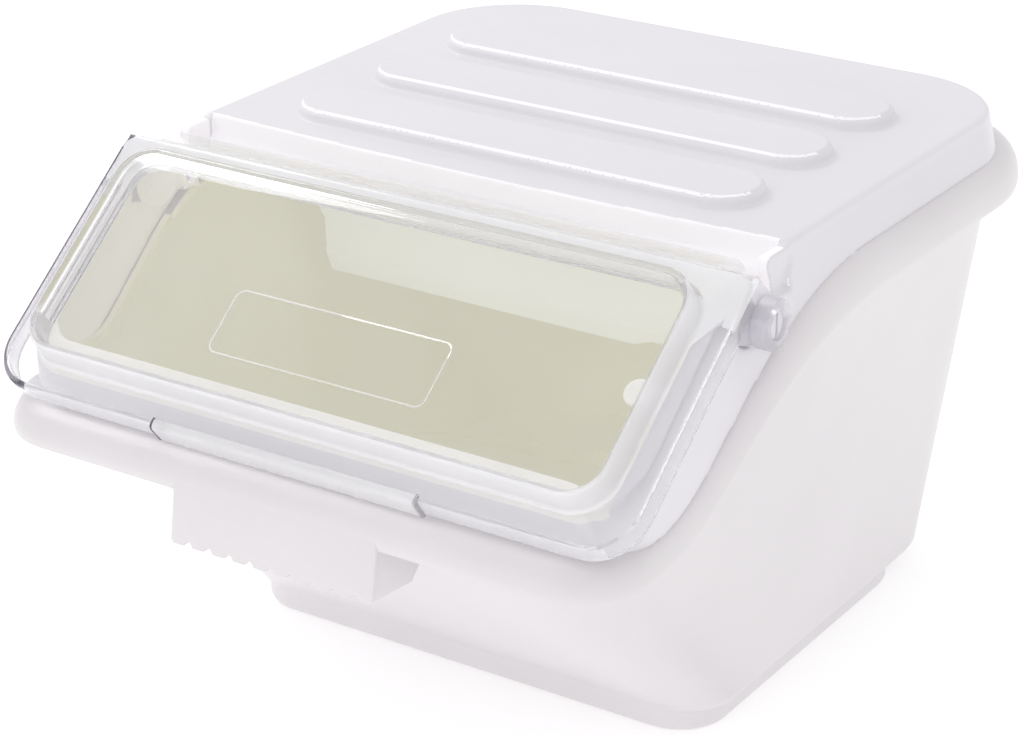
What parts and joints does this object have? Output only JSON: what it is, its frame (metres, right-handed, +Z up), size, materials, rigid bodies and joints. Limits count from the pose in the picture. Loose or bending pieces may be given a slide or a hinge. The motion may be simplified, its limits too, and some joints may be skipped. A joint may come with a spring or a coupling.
{
  "type": "shelf ingredient bin",
  "caption": "Slant-front plastic food bin with a lift-off ribbed cover and a clear flip lid hinged at its mouth, for rice and other dry goods.",
  "frame": {"origin": "middle of the bounding box, on the surface the foot stands on", "axes": "+Z up, -Y towards the slanted front with the clear lid and the pull handle, +Y towards the rear grip flange, +X to the right as seen from the front"},
  "size_m": [0.3048, 0.3836, 0.22],
  "materials": {
    "bin_plastic": "satin white polypropylene",
    "cover_plastic": "satin white polypropylene",
    "clear_plastic": "clear polycarbonate, gloss",
    "pin_plastic": "smooth translucent white",
    "baffle_plastic": "satin white"
  },
  "bodies": {
    "bin": {"bin_body": "bin_plastic"},
    "cover": {"cover": "cover_plastic", "hinge_pin_right": "pin_plastic", "hinge_pin_left": "pin_plastic", "baffle": "baffle_plastic"},
    "lid": {"flip_lid": "clear_plastic"}
  },
  "joints": [
    {"name": "cover_lift", "type": "slide", "parent": "bin", "child": "cover", "axis": [0, 0, 1], "range_m": [0, 0.15]},
    {"name": "lid_hinge", "type": "hinge", "parent": "cover", "child": "lid", "pos_m": [0, -0.08401, 0.1965], "axis": [-1, 0, 0], "range_deg": [0, 120]}
  ]
}
